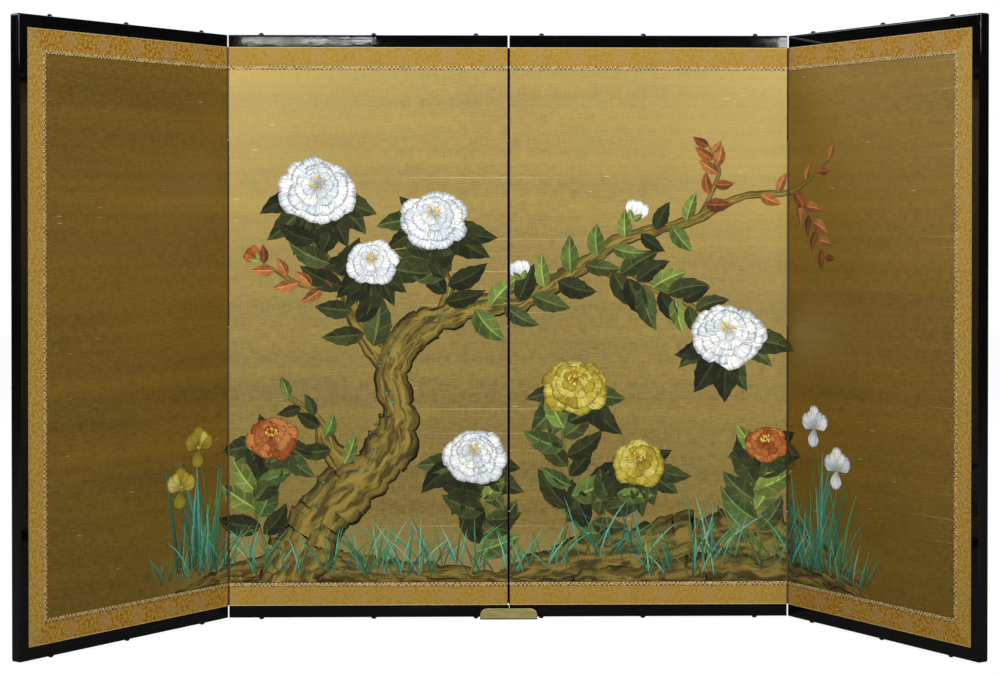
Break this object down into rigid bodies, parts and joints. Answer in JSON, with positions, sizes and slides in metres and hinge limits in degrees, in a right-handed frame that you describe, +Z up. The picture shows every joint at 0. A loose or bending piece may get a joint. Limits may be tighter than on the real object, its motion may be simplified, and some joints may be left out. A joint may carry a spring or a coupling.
{
  "type": "folding screen",
  "caption": "Low folding screen of papered lattice panels in lacquered rails, joined edge to edge by cloth creases, with a brass clip under the middle fold.",
  "frame": {"origin": "on the floor under the middle fold, halfway through the thickness of the two middle panels; it lies on the flat underside of the clip", "axes": "+Z up, +X along the two middle panels to the right as seen from the painted side, -Y towards the viewer of the painted side"},
  "size_m": [1.3757, 0.3989, 0.9216],
  "materials": {
    "black_lacquer": "gloss black lacquer on wood",
    "nail_iron": "black lacquered iron, domed",
    "cedar": "planed, unfinished",
    "lining_paper": "kozo paper, pasted in layers",
    "painted_silk": "old gold silk with mineral colours, matt",
    "brocade": "gold woven brocade",
    "braid": "flat braid in cream, gold and black",
    "back_paper": "block printed paper, matt",
    "hinge_cloth": "gold brown hinge cloth",
    "clip_brass": "dull brushed brass"
  },
  "bodies": {
    "panel_1": {"hinge_1_cloth_on_panel_1": "hinge_cloth", "panel_1_back_lining": "lining_paper", "panel_1_back_paper": "back_paper", "panel_1_bottom_rail": "black_lacquer", "panel_1_braid": "braid", "panel_1_brocade_border": "brocade", "panel_1_core_frame": "cedar", "panel_1_domed_nails": "nail_iron", "panel_1_front_lining": "lining_paper", "panel_1_lattice_slats": "cedar", "panel_1_lattice_uprights": "cedar", "panel_1_painted_silk": "painted_silk", "panel_1_side_rail": "black_lacquer", "panel_1_top_rail": "black_lacquer"},
    "panel_2": {"centre_clip": "clip_brass", "hinge_1_cloth_on_panel_2": "hinge_cloth", "hinge_2_cloth_on_panel_2": "hinge_cloth", "panel_2_back_lining": "lining_paper", "panel_2_back_paper": "back_paper", "panel_2_bottom_rail": "black_lacquer", "panel_2_braid": "braid", "panel_2_brocade_border": "brocade", "panel_2_core_frame": "cedar", "panel_2_domed_nails": "nail_iron", "panel_2_front_lining": "lining_paper", "panel_2_lattice_slats": "cedar", "panel_2_lattice_uprights": "cedar", "panel_2_painted_silk": "painted_silk", "panel_2_top_rail": "black_lacquer"},
    "panel_3": {"hinge_2_cloth_on_panel_3": "hinge_cloth", "hinge_3_cloth_on_panel_3": "hinge_cloth", "panel_3_back_lining": "lining_paper", "panel_3_back_paper": "back_paper", "panel_3_bottom_rail": "black_lacquer", "panel_3_braid": "braid", "panel_3_brocade_border": "brocade", "panel_3_core_frame": "cedar", "panel_3_domed_nails": "nail_iron", "panel_3_front_lining": "lining_paper", "panel_3_lattice_slats": "cedar", "panel_3_lattice_uprights": "cedar", "panel_3_painted_silk": "painted_silk", "panel_3_top_rail": "black_lacquer"},
    "panel_4": {"hinge_3_cloth_on_panel_4": "hinge_cloth", "panel_4_back_lining": "lining_paper", "panel_4_back_paper": "back_paper", "panel_4_bottom_rail": "black_lacquer", "panel_4_braid": "braid", "panel_4_brocade_border": "brocade", "panel_4_core_frame": "cedar", "panel_4_domed_nails": "nail_iron", "panel_4_front_lining": "lining_paper", "panel_4_lattice_slats": "cedar", "panel_4_lattice_uprights": "cedar", "panel_4_painted_silk": "painted_silk", "panel_4_side_rail": "black_lacquer", "panel_4_top_rail": "black_lacquer"}
  },
  "joints": [
    {"name": "left_fold", "type": "hinge", "parent": "panel_2", "child": "panel_1", "pos_m": [-0.4389, -0.01, 0], "axis": [0, 0, 1], "range_deg": [-53.9, 126.1]},
    {"name": "middle_fold", "type": "hinge", "parent": "panel_2", "child": "panel_3", "pos_m": [0, 0.01, 0], "axis": [0, 0, 1], "range_deg": [0, 180]},
    {"name": "right_fold", "type": "hinge", "parent": "panel_3", "child": "panel_4", "pos_m": [0.4389, -0.01, 0], "axis": [0, 0, -1], "range_deg": [-60.8, 119.2]}
  ]
}
